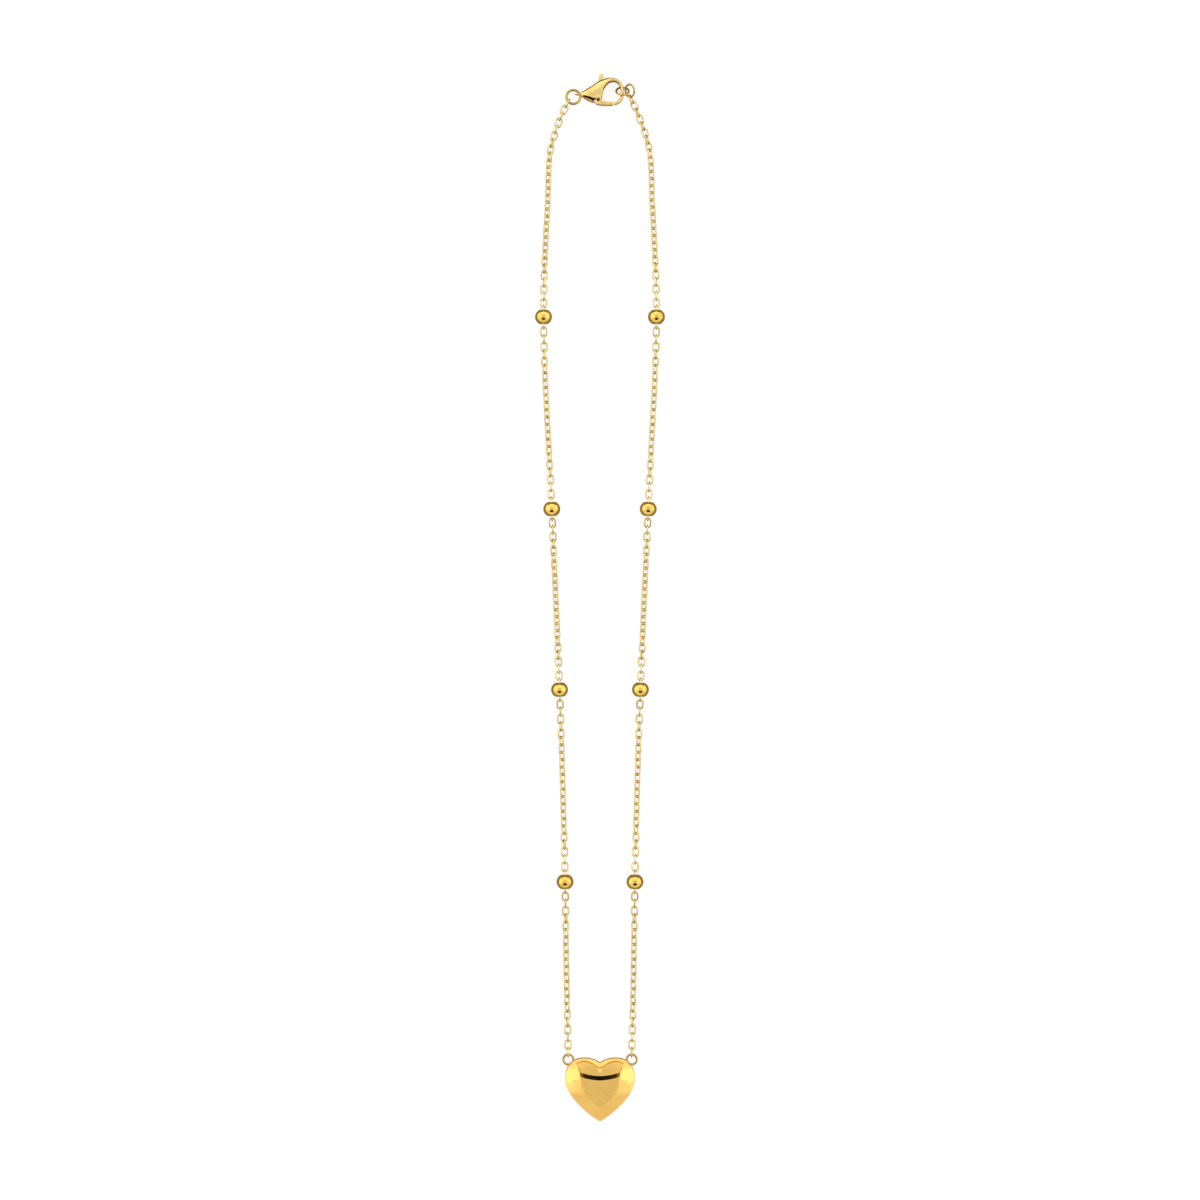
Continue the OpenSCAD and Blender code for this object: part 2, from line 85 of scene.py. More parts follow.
# Seen by the lens the paper is bright white; what the metal picks up from it is duller.
paper = bpy.data.materials.new("white_paper")
paper.use_nodes = True
sheet_nodes, sheet_links = paper.node_tree.nodes, paper.node_tree.links
sheet_nodes.clear()
out = sheet_nodes.new("ShaderNodeOutputMaterial")
mix = sheet_nodes.new("ShaderNodeMixShader")
ray = sheet_nodes.new("ShaderNodeLightPath")
seen = sheet_nodes.new("ShaderNodeBsdfDiffuse")
seen.inputs["Color"].default_value = (0.30, 0.30, 0.30, 1)
thrown = sheet_nodes.new("ShaderNodeBsdfDiffuse")
thrown.inputs["Color"].default_value = (0.33, 0.28, 0.20, 1)
sheet_links.new(ray.outputs["Is Camera Ray"], mix.inputs[0])
sheet_links.new(thrown.outputs[0], mix.inputs[1])
lift = sheet_nodes.new("ShaderNodeEmission")
lift.inputs["Color"].default_value = (1, 1, 1, 1)
lift.inputs["Strength"].default_value = 0.78
both = sheet_nodes.new("ShaderNodeAddShader")
sheet_links.new(seen.outputs[0], both.inputs[0])
sheet_links.new(lift.outputs[0], both.inputs[1])
sheet_links.new(both.outputs[0], mix.inputs[2])
sheet_links.new(mix.outputs[0], out.inputs["Surface"])
sweep_mesh.materials.append(paper)

# The tent is quiet overhead and brighter round its far side and its two flanks.
world = bpy.data.worlds.new("white_tent")
world.use_nodes = True
tent = world.node_tree
glow = tent.nodes["Background"]
place = tent.nodes.new("ShaderNodeTexCoord")
split = tent.nodes.new("ShaderNodeSeparateXYZ")
tent.links.new(place.outputs["Generated"], split.inputs[0])


def ramp(source, low, high, start, end):
    """A smooth step of light from start to end, as the source goes from low to high."""
    step = tent.nodes.new("ShaderNodeMapRange")
    step.interpolation_type = "SMOOTHSTEP"
    for name, value in zip(("From Min", "From Max", "To Min", "To Max"), (low, high, start, end)):
        step.inputs[name].default_value = value
    tent.links.new(source, step.inputs["Value"])
    return step.outputs["Result"]


def worked(kind, a, b):
    """The sum or product of two amounts of light."""
    step = tent.nodes.new("ShaderNodeMath")
    step.operation = kind
    for socket, value in zip(step.inputs, (a, b)):
        if isinstance(value, float):
            socket.default_value = value
        else:
            tent.links.new(value, socket)
    return step.outputs[0]


wall = ramp(split.outputs["Z"], 0.97, 0.78, 0.0, 1.0)
far_wall = ramp(split.outputs["Y"], -0.56, -0.06, 0.0, 0.34)
flank_glow = worked("MULTIPLY", wall, far_wall)
wall_glow, roof_glow = 0.10, 0.80
light = worked("ADD", worked("MULTIPLY", wall, wall_glow), worked("ADD", flank_glow, roof_glow))
tent.links.new(light, glow.inputs["Strength"])
glow.inputs["Color"].default_value = (1.0, 0.985, 0.955, 1)
scene.world = world


def soft_box(name, toward, distance, width, height, strength):
    """A soft box that stands off to that side and faces the necklace."""
    lamp = bpy.data.lights.new(name, "AREA")
    lamp.shape = "RECTANGLE"
    lamp.size = width
    lamp.size_y = height
    lamp.energy = strength * width * height * math.pi
    box = bpy.data.objects.new(name, lamp)
    aim = Vector(toward).normalized()
    box.location = aim * distance
    box.rotation_euler = aim.to_track_quat("Z", "Y").to_euler()
    scene.collection.objects.link(box)


soft_box("far_soft_box", (0, 0.94, 0.34), 2.4, 3.0, 0.5, 0.5)
soft_box("left_soft_box", (-0.9, 0.2, 0.5), 2.4, 1.8, 0.8, 0.35)
soft_box("right_soft_box", (0.9, 0.2, 0.5), 2.4, 1.8, 0.8, 0.35)


# Black cards give polished metal its dark lines: a wide hood that leans to the near side of
# the lens, and a long low fence standing at the far edge of the table.
card_reach, card_middle = 1.9, -0.1


def black_card(name, corners, faces):
    """A card the lens can't see, which shows only where polished metal mirrors it."""
    mesh = bpy.data.meshes.new(name)
    mesh.from_pydata(corners, [], faces)
    card = bpy.data.objects.new(name, mesh)
    scene.collection.objects.link(card)
    card.visible_camera = False
    card.visible_shadow = False
    card.visible_diffuse = False
    black = bpy.data.materials.new(name + "_felt")
    black.use_nodes = True
    face = black.node_tree.nodes["Principled BSDF"]
    face.inputs["Base Color"].default_value = (0.004, 0.003, 0.002, 1)
    face.inputs["Roughness"].default_value = 1
    face.inputs["Specular IOR Level"].default_value = 0
    mesh.materials.append(black)


def out_along(tilt, swing, lean, wide):
    """A point of the hood, tilted off straight up and swung round, then leant to the near side."""
    t, s, back = (math.radians(v) for v in (tilt, swing, lean))
    x, y, z = wide * math.sin(t) * math.sin(s), math.sin(t) * math.cos(s), math.cos(t)
    return (card_reach * x, card_middle + card_reach * (y * math.cos(back) - z * math.sin(back)),
            card_reach * (y * math.sin(back) + z * math.cos(back)))


hood_corners = 36
hood = [out_along(18, k * 360 / hood_corners, 31, 1.45) for k in range(hood_corners)]
black_card("lens_hood", hood, [tuple(range(hood_corners))])
fence = [(card_reach * math.sin(math.radians(d)), card_reach * math.cos(math.radians(d)) + card_middle)
         for d in range(-36, 37, 4)]
fence_h = 0.40
posts = len(fence)
black_card("low_fence", [(x, y, z) for z in (0.0, fence_h) for x, y in fence],
           [(k, k + 1, k + 1 + posts, k + posts) for k in range(posts - 1)])


# ---------------------------------------------------------------- the chain
# A cable chain of oval links in round gold-filled wire. Each link is closed on its long
# side with a touch of solder, then the whole chain is tumbled bright.
def gold_tone():
    """Colour of gold plate: a deep and a pale gold mixed in soft clouds, paler where it rubs and where a
    highlight is painted.
    """
    group = bpy.data.node_groups.new("gold_tone", "ShaderNodeTree")
    face = group.interface
    face.new_socket("Cloud size", in_out="INPUT", socket_type="NodeSocketFloat").default_value = 400
    for colour in ("Deep gold", "Pale gold", "Worn gold"):
        face.new_socket(colour, in_out="INPUT", socket_type="NodeSocketColor")
    face.new_socket("Wear", in_out="INPUT", socket_type="NodeSocketFloat")
    face.new_socket("Colour", in_out="OUTPUT", socket_type="NodeSocketColor")
    n, link = group.nodes, group.links
    gin, gout = n.new("NodeGroupInput"), n.new("NodeGroupOutput")
    place = n.new("ShaderNodeTexCoord")
    cloud = n.new("ShaderNodeTexNoise")
    cloud.inputs["Detail"].default_value = 3
    link.new(place.outputs["Object"], cloud.inputs["Vector"])
    link.new(gin.outputs["Cloud size"], cloud.inputs["Scale"])
    spread = n.new("ShaderNodeMapRange")
    spread.inputs["From Min"].default_value = 0.35
    spread.inputs["From Max"].default_value = 0.65
    link.new(cloud.outputs["Fac"], spread.inputs["Value"])
    tone = n.new("ShaderNodeMix")
    tone.data_type = "RGBA"
    link.new(spread.outputs["Result"], tone.inputs["Factor"])
    link.new(gin.outputs["Deep gold"], tone.inputs["A"])
    link.new(gin.outputs["Pale gold"], tone.inputs["B"])
    worn = n.new("ShaderNodeMix")
    worn.data_type = "RGBA"
    link.new(gin.outputs["Wear"], worn.inputs["Factor"])
    link.new(tone.outputs["Result"], worn.inputs["A"])
    link.new(gin.outputs["Worn gold"], worn.inputs["B"])
    link.new(worn.outputs["Result"], gout.inputs["Colour"])
    return group


def polish_marks():
    """Fine hairlines and pin pits left by the polishing wheel, as a height and a roughness."""
    group = bpy.data.node_groups.new("polish_marks", "ShaderNodeTree")
    face = group.interface
    for name, value in (("Hairlines per metre", 9000), ("Pits per metre", 6000),
                        ("Smooth", 0.08), ("Rough", 0.2)):
        face.new_socket(name, in_out="INPUT", socket_type="NodeSocketFloat").default_value = value
    for name in ("Height", "Roughness"):
        face.new_socket(name, in_out="OUTPUT", socket_type="NodeSocketFloat")
    n, link = group.nodes, group.links
    gin, gout = n.new("NodeGroupInput"), n.new("NodeGroupOutput")
    place = n.new("ShaderNodeTexCoord")
    turn = n.new("ShaderNodeMapping")
    turn.inputs["Rotation"].default_value = (0.3, 0.2, 0.7)
    turn.inputs["Scale"].default_value = (1, 0.06, 1)
    link.new(place.outputs["Object"], turn.inputs["Vector"])
    hair = n.new("ShaderNodeTexNoise")
    hair.inputs["Detail"].default_value = 2
    link.new(turn.outputs["Vector"], hair.inputs["Vector"])
    link.new(gin.outputs["Hairlines per metre"], hair.inputs["Scale"])
    pits = n.new("ShaderNodeTexVoronoi")
    link.new(place.outputs["Object"], pits.inputs["Vector"])
    link.new(gin.outputs["Pits per metre"], pits.inputs["Scale"])
    pit = n.new("ShaderNodeMapRange")
    pit.inputs["From Min"].default_value = 0.0
    pit.inputs["From Max"].default_value = 0.16
    link.new(pits.outputs["Distance"], pit.inputs["Value"])
    height = n.new("ShaderNodeMath")
    height.operation = "MULTIPLY"
    link.new(hair.outputs["Fac"], height.inputs[0])
    link.new(pit.outputs["Result"], height.inputs[1])
    link.new(height.outputs[0], gout.inputs["Height"])
    rough = n.new("ShaderNodeMapRange")
    rough.inputs["From Min"].default_value = 0.3
    rough.inputs["From Max"].default_value = 0.7
    link.new(hair.outputs["Fac"], rough.inputs["Value"])
    link.new(gin.outputs["Smooth"], rough.inputs["To Min"])
    link.new(gin.outputs["Rough"], rough.inputs["To Max"])
    link.new(rough.outputs["Result"], gout.inputs["Roughness"])
    return group


gold_tone_group = gold_tone()
polish_group = polish_marks()


def plated(name, deep, pale, worn, clouds, hairlines, pits, smooth, rough, bump):
    """A metal finish. An attribute of the mesh says where it rubs or was soldered; along the top of the
    clasp's hook the same attribute also carries a painted highlight.
    """
    metal = bpy.data.materials.new(name)
    metal.use_nodes = True
    n, link = metal.node_tree.nodes, metal.node_tree.links
    shader = n["Principled BSDF"]
    shader.inputs["Metallic"].default_value = 1.0
    wear_and_highlight_input = n.new("ShaderNodeAttribute")
    wear_and_highlight_input.attribute_name = "worn"
    tone = n.new("ShaderNodeGroup")
    tone.node_tree = gold_tone_group
    tone.inputs["Cloud size"].default_value = clouds
    tone.inputs["Deep gold"].default_value = (*deep, 1)
    tone.inputs["Pale gold"].default_value = (*pale, 1)
    tone.inputs["Worn gold"].default_value = (*worn, 1)
    link.new(wear_and_highlight_input.outputs["Fac"], tone.inputs["Wear"])
    link.new(tone.outputs["Colour"], shader.inputs["Base Color"])
    marks = n.new("ShaderNodeGroup")
    marks.node_tree = polish_group
    marks.inputs["Hairlines per metre"].default_value = hairlines
    marks.inputs["Pits per metre"].default_value = pits
    marks.inputs["Smooth"].default_value = smooth
    marks.inputs["Rough"].default_value = rough
    link.new(marks.outputs["Roughness"], shader.inputs["Roughness"])
    relief = n.new("ShaderNodeBump")
    relief.inputs["Strength"].default_value = bump
    relief.inputs["Distance"].default_value = 0.00001
    link.new(marks.outputs["Height"], relief.inputs["Height"])
    link.new(relief.outputs["Normal"], shader.inputs["Normal"])
    return metal


bodies = frame["record"]["behaviour"]["bodies"]
body_of = {node: body for body, group in bodies.items() for node in group}


def place_piece(name, points, faces, metal, node, sharp=None, worn=None):
    """Makes a piece from its points and faces, in place of the CAD node it stands for."""
    mesh = bpy.data.meshes.new(name)
    mesh.from_pydata([tuple(p) for p in points], [], faces)
    mesh.update()
    mesh.shade_smooth()
    if sharp is not None:
        mesh.set_sharp_from_angle(angle=math.radians(sharp))
    wear_and_highlight_layer = mesh.attributes.new("worn", "FLOAT", "POINT")
    wear_and_highlight_layer.data.foreach_set("value", np.zeros(len(points), np.float32) if worn is None
                            else np.asarray(worn, np.float32))
    mesh.materials.append(metal)
    piece = bpy.data.objects.new(name, mesh)
    scene.collection.objects.link(piece)
    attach(piece, body_of[node])
    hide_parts(node)
    return piece


def islands(node):
    """The separate solids of a CAD node, each as an array of its points."""
    bm = bmesh.new()
    bm.from_mesh(frame["nodes"][node].data)
    bmesh.ops.remove_doubles(bm, verts=bm.verts, dist=1e-6)
    left = set(bm.verts)
    found = []
    while left:
        seed = left.pop()
        group, edge = [seed], [seed]
        while edge:
            v = edge.pop()
            for e in v.link_edges:
                w = e.other_vert(v)
                if w in left:
                    left.remove(w)
                    group.append(w)
                    edge.append(w)
        found.append(np.array([v.co[:] for v in group]))
    bm.free()
    return found


def axes_of(points):
    """Middle of a solid and its long, cross and thin directions."""
    mean = points.mean(0)
    _, _, rows = np.linalg.svd(points - mean, full_matrices=False)
    local = (points - mean) @ rows.T
    low, high = local.min(0), local.max(0)
    return mean + ((low + high) / 2) @ rows, rows, high - low


wire_sides = 10
link_steps = 32


def link_points(middle, rows, size):
    """One oval link: round wire along a stadium path, a little fuller at its soldered joint."""
    wire = size[2]
    bend = (size[1] - wire) / 2
    run = (size[0] - size[1]) / 2
    points, worn = [], []
    for k in range(link_steps):
        a = math.tau * k / link_steps
        cx, cy = math.cos(a), math.sin(a)
        x = math.copysign(run, cx) if abs(cx) > 0.05 else run * cx / 0.05
        centre = np.array([x + bend * cx, bend * cy, 0.0])
        outward = np.array([cx, cy, 0.0])
        seam = math.exp(-((a - 1.5 * math.pi) / 0.3) ** 2)
        rub = abs(cx) ** 6
        r = wire / 2 * (1 + 0.08 * seam - 0.03 * rub)
        for j in range(wire_sides):
            b = math.tau * j / wire_sides
            p = centre + r * (math.cos(b) * outward + math.sin(b) * np.array([0, 0, 1.0]))
            points.append(middle + p @ rows)
            worn.append(max(0.9 * seam, 0.5 * rub * (math.cos(b) < -0.3)))
    return points, worn


def ring_faces(steps, sides, start=0):
    """Faces of a closed ring of round wire, from its rows of points."""
    faces = []
    for k in range(steps):
        m = (k + 1) % steps
        for j in range(sides):
            i = (j + 1) % sides
            faces.append((start + k * sides + j, start + m * sides + j,
                          start + m * sides + i, start + k * sides + i))
    return faces


chain_metal = plated("chain_gold_plate", (0.77, 0.56, 0.15), (0.93, 0.75, 0.30), (0.98, 0.84, 0.44),
                     900, 22000, 15000, 0.12, 0.26, 0.15)
for node in sorted(n for n in body_of if "_chain_" in n or n.endswith("_end_link")):
    points, faces, worn = [], [], []
    for solid in islands(node):
        middle, rows, size = axes_of(solid)
        if np.linalg.det(rows) < 0:
            rows = rows * np.array([[1], [1], [-1]])
        p, w = link_points(middle, rows, size)
        faces += ring_faces(link_steps, wire_sides, len(points))
        points += p
        worn += w
    place_piece(node + "_links", points, faces, chain_metal, node, None, worn)


# ---------------------------------------------------------------- the beads
# Hollow round beads, spun from thin gold-filled sheet with a rolled lip round each hole.
# A chain link passes through each hole, and the joint between the halves is burnished shut.
bead_metal = plated("bead_gold_plate", (0.86, 0.56, 0.11), (0.95, 0.67, 0.17), (0.97, 0.74, 0.28),
                    500, 12000, 9000, 0.05, 0.12, 0.06)
bead_sides = 64
for node in sorted(n for n in body_of if "_bead_" in n):
    solid = np.array([v.co[:] for v in frame["nodes"][node].data.vertices])
    middle, rows, _ = axes_of(solid)
    axis = max(rows, key=lambda row: abs(row[1]))
    axis = axis if axis[1] > 0 else -axis
    across = np.cross(axis, [0, 0, 1.0])
    across /= np.linalg.norm(across)
    up = np.cross(across, axis)
    off_axis = (solid - middle) - np.outer((solid - middle) @ axis, axis)
    bead_r = np.linalg.norm(off_axis, axis=1).max()
    radius = 0.918 * bead_r
    out = bead_r - radius
    hole = 0.48 * bead_r
    lip = 0.05 * bead_r
    sheet = 0.165 * bead_r
    end = math.acos((hole + lip - out) / radius)
    profile = []
    for k in range(33):
        a = -end + 2 * end * k / 32
        seam = 1 - 0.004 * math.exp(-(a / 0.02) ** 2)
        profile.append((out + radius * seam * math.cos(a), radius * seam * math.sin(a), 0.0))
    top = profile[-1]
    rolled = [(hole + lip - lip * math.sin(a), top[1] - lip * 0.4 + lip * math.cos(a), 0.8)
              for a in (0.5, 1.1, 1.7, 2.4)]
    inner = radius - sheet
    inner_end = math.acos((hole + lip - out) / inner)
    inside = [(out + inner * math.cos(a), inner * math.sin(a), 0.0)
              for a in [inner_end - 2 * inner_end * k / 16 for k in range(17)]]
    profile = profile + rolled + inside + [(r, -h, w) for r, h, w in reversed(rolled)]
    steps = len(profile)
    points, worn = [], []
    for j in range(bead_sides):
        b = math.tau * j / bead_sides
        for r, h, w in profile:
            points.append(middle + axis * h + r * (math.cos(b) * across + math.sin(b) * up))
            worn.append(w)
    faces = [f[::-1] for f in ring_faces(bead_sides, steps)]
    place_piece(node + "_shell", points, faces, bead_metal, node, 40, worn)


# ---------------------------------------------------------------- the heart
# The heart is pressed from two sheets: a faceted front with a flat shield in its middle,
# and a flat back plate soldered on under it. A narrow band runs round its shoulders.
_, back_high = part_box("heart_back_plate")
front_low, front_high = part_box("heart_front_shell")
half_w = (front_high.x - front_low.x) / 2
heart_tip = front_low.y
heart_h = (front_high.y - heart_tip) / 0.997
shoulder_top = heart_tip + heart_h
plate_top = back_high.z - 0.00025
top_z = front_high.z
rim_low, rim_high = plate_top + 0.0008, plate_top + 0.0015


def bend(a, b, c, d, t):
    """A curve from a to d that b and c pull on."""
    return (1 - t) ** 3 * a + 3 * (1 - t) ** 2 * t * b + 3 * (1 - t) * t * t * c + t ** 3 * d


def heart_at(points, t):
    """A point on one of the heart's curves, in its real size."""
    x, y = (bend(*[p[i] for p in points], t) for i in (0, 1))
    return np.array([half_w * x, shoulder_top + heart_h * y])


lobe = [(0, -0.075), (0.24, 0.041), (1, 0.083), (1, -0.323)]
flank = [(1, -0.323), (1, -0.556), (0.455, -0.85), (0, -1)]
shield_top = [(0, -0.266), (0.18, -0.264), (0.4, -0.241), (0.54, -0.211)]
shield_side = [(0.54, -0.211), (0.6, -0.406), (0.42, -0.616), (0, -0.756)]
shoulder_t = 0.60
upper_n, lobe_n, flank_n = 22, 12, 30
side_n = lobe_n + flank_n
along_top = [k / upper_n for k in range(upper_n)] + [0.985, 1.0]
along_side = [0.1] + list(range(1, side_n + 1))
ridge = len(along_top) - 1
outline = [heart_at(lobe, shoulder_t * u) for u in along_top]
outline += [heart_at(lobe, shoulder_t + (1 - shoulder_t) * k / lobe_n) if k < lobe_n
            else heart_at(flank, (k - lobe_n) / flank_n) for k in along_side]
shield = [heart_at(shield_top, u) for u in along_top]
under_strip = 0.1
shield += [heart_at(shield_side, under_strip + (1 - under_strip) * (k / side_n) ** 0.92
                    if k >= 1 else under_strip) for k in along_side]
rims = [rim_low for _ in along_top]
for k in along_side:
    f = min(max((k / side_n - 0.25) / 0.3, 0.0), 1.0)
    rims.append(rim_low + (rim_high - rim_low) * f * f * (3 - 2 * f))
heart_middle = np.array([0.0, shoulder_top - heart_h * 0.45])
# The steep strip along the shield's top edge, and the grooves of the crease and the ridge.
strip = 0.0008
strip_drop = 0.00087
crease_w = 0.0002
ridge_groove = 0.0001
# The crease below the lobes, in millimetres from the middle and from the shoulders' top.
crease_x = [0.0, 0.5, 1.0, 1.55, 2.6, 3.7, 4.6, 5.1, 5.35]
crease_y = [-1.88, -1.62, -1.25, -0.92, -0.52, -0.42, -0.65, -0.92, -1.10]


def toward_middle(p, d):
    """The point moved that far toward the heart's middle."""
    v = heart_middle - p
    return p + v / np.linalg.norm(v) * d


def flank_height(t, rim_z, edge_z):
    """Height of a side facet, slightly crowned, from the rim to the shield's edge."""
    return rim_z + (edge_z - rim_z) * t + 0.00006 * math.sin(math.pi * t)


def heart_column(i):
    """One line of points up the front, from the solder seam over the facets to the shield."""
    p, s, rim_z = outline[i], shield[i], rims[i]
    column = [(*toward_middle(p, 0.00006), plate_top), (*p, plate_top + 0.00006),
              (*p, rim_z - 0.00012), (*toward_middle(p, 0.00003), rim_z - 0.00003)]
    start = toward_middle(p, 0.0001)
    if i <= ridge:
        edge_z = top_z - strip_drop
        x = crease_x[-1] / 1000 * (p[0] / outline[ridge][0])
        crease = np.array([x, shoulder_top + np.interp(x * 1000, crease_x, crease_y) / 1000])
        w = max(0.0, (along_top[i] - 0.82) / 0.18) ** 2
        crease_z = (rim_z + 0.7 * np.linalg.norm(crease - start)) * (1 - w)
        crease_z += flank_height(0.3, rim_z, edge_z) * w
        sink = ridge_groove if i == ridge else 0.0
        for t in (0.0, 0.33, 0.67, 1.0):
            q = start * (1 - t) + crease * t
            column.append((*q, rim_z * (1 - t) + crease_z * t - sink * t))
        groove = 0.00005 + (1 - w) * 0.00012
        along = (s - crease) / np.linalg.norm(s - crease)
        column.append((*(crease + along * crease_w / 2), crease_z - groove - sink))
        first = crease + along * crease_w
        column.append((*first, crease_z + 0.00003 - sink))
        for t in (0.2, 0.4, 0.6, 0.8, 1.0):
            q = first * (1 - t) + s * t
            z = (crease_z + 0.00003) * (1 - t) + edge_z * t + 0.00004 * math.sin(math.pi * t)
            column.append((*q, z - sink * (t < 1)))
        low = np.array([s[0] * 0.985, s[1] - strip])
        column.append((*((s + low) / 2), edge_z + strip_drop / 2))
        column.append((*low, top_z))
    else:
        for t in (0.0, 0.1, 0.2, 0.3, 0.32, 0.34, 0.47, 0.6, 0.73, 0.86, 1.0):
            q = start * (1 - t) + s * t
            column.append((*q, flank_height(t, rim_z, top_z)))
        column.append((*toward_middle(s, 0.00002), top_z))
        column.append((*toward_middle(s, 0.00005), top_z))
    edge = np.array(column[-1][:2])
    for t in (0.12, 0.3, 0.5, 0.7, 0.88):
        column.append((*(edge * (1 - t) + heart_middle * t), top_z))
    return column


right_half = [heart_column(i) for i in range(len(outline))]
mirrored = [[(-x, y, z) for x, y, z in c] for c in right_half[1:-1]][::-1]
columns = right_half + mirrored
rows_up = len(columns[0])
points = [p for c in columns for p in c]
faces = []
for k in range(len(columns)):
    m = (k + 1) % len(columns)
    for j in range(rows_up - 1):
        faces.append((k * rows_up + j, k * rows_up + j + 1, m * rows_up + j + 1, m * rows_up + j))
points.append((*heart_middle, top_z))
points.append((*heart_middle, plate_top))
for k in range(len(columns)):
    m = (k + 1) % len(columns)
    faces.append((k * rows_up + rows_up - 1, len(points) - 2, m * rows_up + rows_up - 1))
    faces.append((k * rows_up, m * rows_up, len(points) - 1))
worn = []
for c in columns:
    worn += [0.0, 0.0, 0.2, 0.5, 0.2] + [0.0] * (rows_up - 5)
worn += [0.0, 0.0]
heart_metal = plated("heart_gold_plate", (0.93, 0.57, 0.15), (0.97, 0.63, 0.18), (0.98, 0.70, 0.26),
                     260, 14000, 7000, 0.05, 0.11, 0.05)
place_piece("heart_pressed_front", points, faces, heart_metal, "heart_front_shell", 14, worn)

# The back plate is cut from flat sheet, its edge filed round and its back brushed satin.
plate_rings = [(0.0009, 0.0, 0.3), (0.00012, 0.0, 0.6), (0.00003, 0.00004, 0.8),
               (0.0, 0.00014, 0.4), (0.0, plate_top - 0.0001, 0.0),
               (0.00004, plate_top - 0.00003, 0.2), (0.0001, plate_top, 0.0)]
full_outline = outline + [np.array([-p[0], p[1]]) for p in outline[1:-1]][::-1]
points, worn = [], []
for inset, z, w in plate_rings:
    for p in full_outline:
        points.append((*toward_middle(p, inset), z))
        worn.append(w)
count = len(full_outline)
faces = []
for k in range(len(plate_rings) - 1):
    for j in range(count):
        i = (j + 1) % count
        faces.append((k * count + j, (k + 1) * count + j, (k + 1) * count + i, k * count + i))
points.append((*heart_middle, 0.0))
points.append((*heart_middle, plate_top))
worn += [0.0, 0.0]
last = (len(plate_rings) - 1) * count
for j in range(count):
    i = (j + 1) % count
    faces.append((j, i, len(points) - 2))
    faces.append((last + j, len(points) - 1, last + i))
plate_metal = plated("heart_back_satin", (0.86, 0.54, 0.14), (0.93, 0.62, 0.19), (0.97, 0.72, 0.30),
                     300, 16000, 8000, 0.22, 0.4, 0.5)
place_piece("heart_flat_back", points, faces, plate_metal, "heart_back_plate", 30, worn)


# The two eyelets are rings of round wire soldered to the heart's shoulders, each with a
# small fillet of solder where it meets the edge.
def wire_torus(middle, normal, mean_r, wire, steps=72, sides=20, swell=None, start=(1, 0, 0)):
    """A ring of round wire. A swell makes it fuller where it was soldered."""
    normal = np.array(normal, float)
    normal /= np.linalg.norm(normal)
    u = np.array(start, float)
    u -= normal * u.dot(normal)
    u /= np.linalg.norm(u)
    v = np.cross(normal, u)
    points, worn = [], []
    for k in range(steps):
        a = math.tau * k / steps
        outward = math.cos(a) * u + math.sin(a) * v
        r, w = wire / 2, 0.0
        if swell:
            at, width, amount, mark = swell
            off = (a - at + math.pi) % math.tau - math.pi
            lump = math.exp(-(off / width) ** 2)
            r *= 1 + amount * lump
            w = mark * lump
        for j in range(sides):
            b = math.tau * j / sides
            points.append(np.array(middle) + mean_r * outward
                          + r * (math.cos(b) * outward + math.sin(b) * normal))
            worn.append(w)
    return points, [f[::-1] for f in ring_faces(steps, sides)], worn


finding_metal = plated("finding_gold_plate", (0.93, 0.65, 0.19), (0.99, 0.78, 0.31), (1.0, 0.83, 0.42),
                       500, 15000, 9000, 0.06, 0.15, 0.08)
ring_metal = plated("ring_gold_plate", (0.55, 0.35, 0.07), (0.74, 0.50, 0.13), (0.9, 0.66, 0.24),
                    900, 18000, 12000, 0.08, 0.18, 0.1)
eyelet_wire = 0.00045
for side, name in ((-1, "left_heart_eyelet"), (1, "right_heart_eyelet")):
    low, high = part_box(name)
    outer_r = (high.y - low.y) / 2
    z = (low.z + high.z) / 2
    far = low.x if side < 0 else high.x
    middle = (far - side * outer_r, (low.y + high.y) / 2, z)
    into_heart = math.atan2(heart_middle[1] - middle[1], -side * 0.004)
    points, faces, worn = wire_torus(middle, (0, 0, 1), outer_r - eyelet_wire / 2, eyelet_wire,
                                     swell=(into_heart, 0.5, 0.28, 0.5))
    place_piece(name + "_ring", points, faces, ring_metal, name, None, worn)


# ---------------------------------------------------------------- the clasp
# A lobster clasp cast in one piece and drilled for its rivet: a plump body that narrows to a
# neck and curls over into a hook, with a slot along its middle for the lever.
clasp_low, clasp_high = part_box("clasp_body")
rivet_low, rivet_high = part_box("clasp_rivet")
pivot = (rivet_low + rivet_high) / 2
clasp_z = pivot.z
drawn_pivot = (-0.4, 107.35)


def clasp_at(x, y):
    """A point of the maker's drawing, in millimetres, set about the real rivet."""
    return np.array([pivot.x + (x - drawn_pivot[0]) / 1000, pivot.y + (y - drawn_pivot[1]) / 1000])


def round_hole(r):
    """A circle about the rivet in the drawing."""
    return [(drawn_pivot[0] + r * math.cos(math.radians(d)), drawn_pivot[1] + r * math.sin(math.radians(d)))
            for d in range(0, 360, 12)]


# Stations along the casting: outer edge, inner edge and half thickness, in the maker's drawing.
stations = [
    ((-4.12, 108.15), (-4.12, 107.72), 0.40), ((-3.95, 108.40), (-3.95, 107.45), 0.60),
    ((-3.40, 108.72), (-3.40, 107.00), 0.80), ((-2.40, 109.35), (-2.40, 106.42), 1.05),
    ((-1.30, 110.20), (-1.15, 105.98), 1.22), ((-0.20, 110.90), (-0.10, 105.72), 1.30),
    ((0.70, 111.25), (0.30, 106.60), 1.30), ((1.50, 111.42), (0.72, 108.70), 1.24),
    ((2.40, 111.46), (1.75, 110.20), 1.12), ((3.40, 111.30), (2.95, 110.52), 0.98),
    ((4.25, 110.78), (3.75, 110.20), 0.78), ((4.90, 109.85), (4.28, 109.45), 0.62),
    ((5.14, 108.75), (4.45, 108.55), 0.54), ((5.08, 107.60), (4.38, 107.65), 0.50),
    ((4.75, 106.65), (4.12, 106.92), 0.50), ((4.15, 105.98), (3.72, 106.50), 0.50),
    ((3.30, 105.60), (3.35, 106.28), 0.49), ((2.98, 105.60), (3.16, 106.24), 0.44),
]


